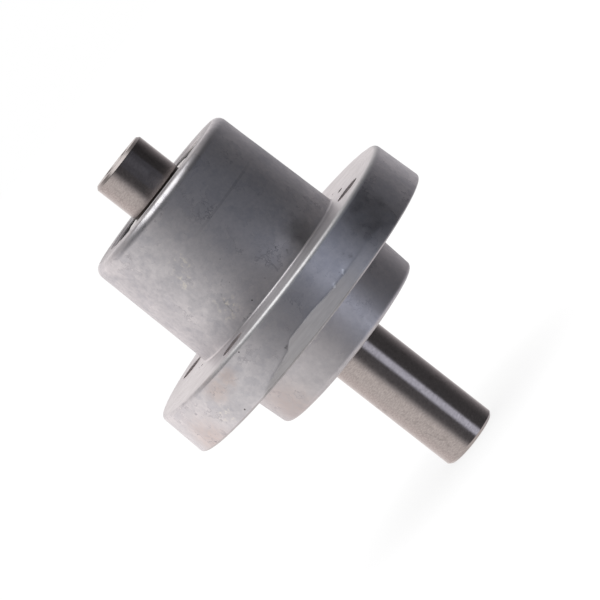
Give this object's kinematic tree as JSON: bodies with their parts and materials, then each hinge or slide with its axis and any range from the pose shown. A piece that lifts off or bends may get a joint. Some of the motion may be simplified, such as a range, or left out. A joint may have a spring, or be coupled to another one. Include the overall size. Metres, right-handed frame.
{
  "type": "mower deck spindle",
  "caption": "Cast flanged housing that bolts to a mower deck and carries a plain steel shaft on two sealed ball bearings.",
  "frame": {"origin": "centre of the flange's upper face, on the shaft's axis", "axes": "+Z along the shaft towards its short end for the pulley; +X lies 30.5 degrees on from the nearest bolt hole, and -Y faces the trimmed casting gate on the rim"},
  "size_m": [0.1306, 0.1308, 0.1683],
  "materials": {
    "cast_aluminium": "as cast, with machined flange face and bores",
    "ground_steel": "ground",
    "plain_steel": "bare",
    "bearing_steel": "ground and honed",
    "spring_steel": "phosphated",
    "seal_rubber": "moulded"
  },
  "bodies": {
    "housing": {"housing": "cast_aluminium", "upper_bearing_outer_ring": "bearing_steel", "upper_bearing_upper_seal": "seal_rubber", "upper_bearing_lower_seal": "seal_rubber", "lower_bearing_outer_ring": "bearing_steel", "lower_bearing_upper_seal": "seal_rubber", "lower_bearing_lower_seal": "seal_rubber", "lower_housing_ring": "spring_steel"},
    "shaft": {"spindle_shaft": "ground_steel", "bearing_spacer": "plain_steel", "upper_bearing_inner_ring": "bearing_steel", "lower_bearing_inner_ring": "bearing_steel", "lower_shaft_ring": "spring_steel"},
    "upper_cage": {"upper_bearing_balls": "bearing_steel", "upper_bearing_cage_upper_half": "plain_steel", "upper_bearing_cage_lower_half": "plain_steel", "upper_bearing_cage_rivets": "plain_steel"},
    "lower_cage": {"lower_bearing_balls": "bearing_steel", "lower_bearing_cage_upper_half": "plain_steel", "lower_bearing_cage_lower_half": "plain_steel", "lower_bearing_cage_rivets": "plain_steel"}
  },
  "joints": [
    {"name": "shaft_spin", "type": "hinge", "parent": "housing", "child": "shaft", "pos_m": [0, 0, 0], "axis": [0, 0, 1], "continuous": true},
    {"name": "upper_cage_roll", "type": "hinge", "parent": "housing", "child": "upper_cage", "pos_m": [0, 0, 0.0447], "axis": [0, 0, 1], "continuous": true},
    {"name": "lower_cage_roll", "type": "hinge", "parent": "housing", "child": "lower_cage", "pos_m": [0, 0, -0.02695], "axis": [0, 0, 1], "continuous": true}
  ],
  "couplings": [
    {"joint": "upper_cage_roll", "follows": "shaft_spin", "ratio": 0.3974},
    {"joint": "lower_cage_roll", "follows": "shaft_spin", "ratio": 0.3974}
  ]
}
